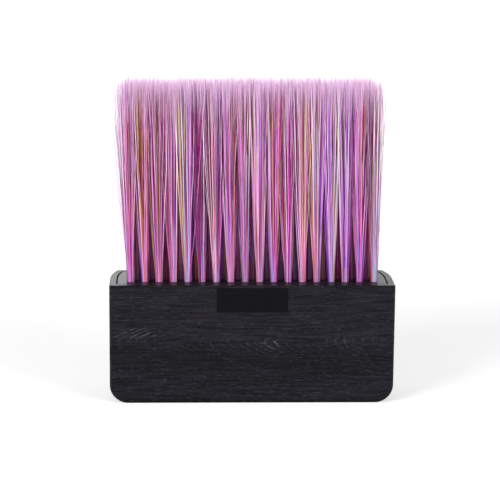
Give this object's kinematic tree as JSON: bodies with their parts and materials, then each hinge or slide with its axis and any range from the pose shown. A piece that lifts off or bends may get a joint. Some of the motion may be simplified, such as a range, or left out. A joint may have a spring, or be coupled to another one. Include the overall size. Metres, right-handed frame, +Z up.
{
  "type": "neck duster brush",
  "caption": "Wide neck duster brush: wooden handle block with an inset tuft plate and staggered rows of soft multicoloured bristle tufts, standing on its flat base.",
  "frame": {"origin": "centre of the flat base that the brush stands on", "axes": "+Z up along the bristles, +X along the block, the front face with the label looks along -Y"},
  "size_m": [0.13, 0.0321, 0.1488],
  "materials": {
    "stained_wood": "satin black stain with visible grain",
    "plate_wood": "satin black stain",
    "label_film": "blank matt film",
    "anchor_steel": "bare flat wire",
    "bristle": "soft satin filaments in orchid, pink, lavender, peach and straw"
  },
  "bodies": {
    "root": {"handle_body": "stained_wood", "tuft_plate": "plate_wood", "label_film": "label_film", "tuft_anchors": "anchor_steel", "tuft_1_01": "bristle", "tuft_1_02": "bristle", "tuft_1_03": "bristle", "tuft_1_04": "bristle", "tuft_1_05": "bristle", "tuft_1_06": "bristle", "tuft_1_07": "bristle", "tuft_1_08": "bristle", "tuft_1_09": "bristle", "tuft_1_10": "bristle", "tuft_1_11": "bristle", "tuft_1_12": "bristle", "tuft_1_13": "bristle", "tuft_1_14": "bristle", "tuft_1_15": "bristle", "tuft_1_16": "bristle", "tuft_1_17": "bristle", "tuft_1_18": "bristle", "tuft_2_01": "bristle", "tuft_2_02": "bristle", "tuft_2_03": "bristle", "tuft_2_04": "bristle", "tuft_2_05": "bristle", "tuft_2_06": "bristle", "tuft_2_07": "bristle", "tuft_2_08": "bristle", "tuft_2_09": "bristle", "tuft_2_10": "bristle", "tuft_2_11": "bristle", "tuft_2_12": "bristle", "tuft_2_13": "bristle", "tuft_2_14": "bristle", "tuft_2_15": "bristle", "tuft_2_16": "bristle", "tuft_2_17": "bristle", "tuft_3_01": "bristle", "tuft_3_02": "bristle", "tuft_3_03": "bristle", "tuft_3_04": "bristle", "tuft_3_05": "bristle", "tuft_3_06": "bristle", "tuft_3_07": "bristle", "tuft_3_08": "bristle", "tuft_3_09": "bristle", "tuft_3_10": "bristle", "tuft_3_11": "bristle", "tuft_3_12": "bristle", "tuft_3_13": "bristle", "tuft_3_14": "bristle", "tuft_3_15": "bristle", "tuft_3_16": "bristle", "tuft_3_17": "bristle", "tuft_3_18": "bristle", "tufts_row_4": "bristle"}
  },
  "joints": []
}
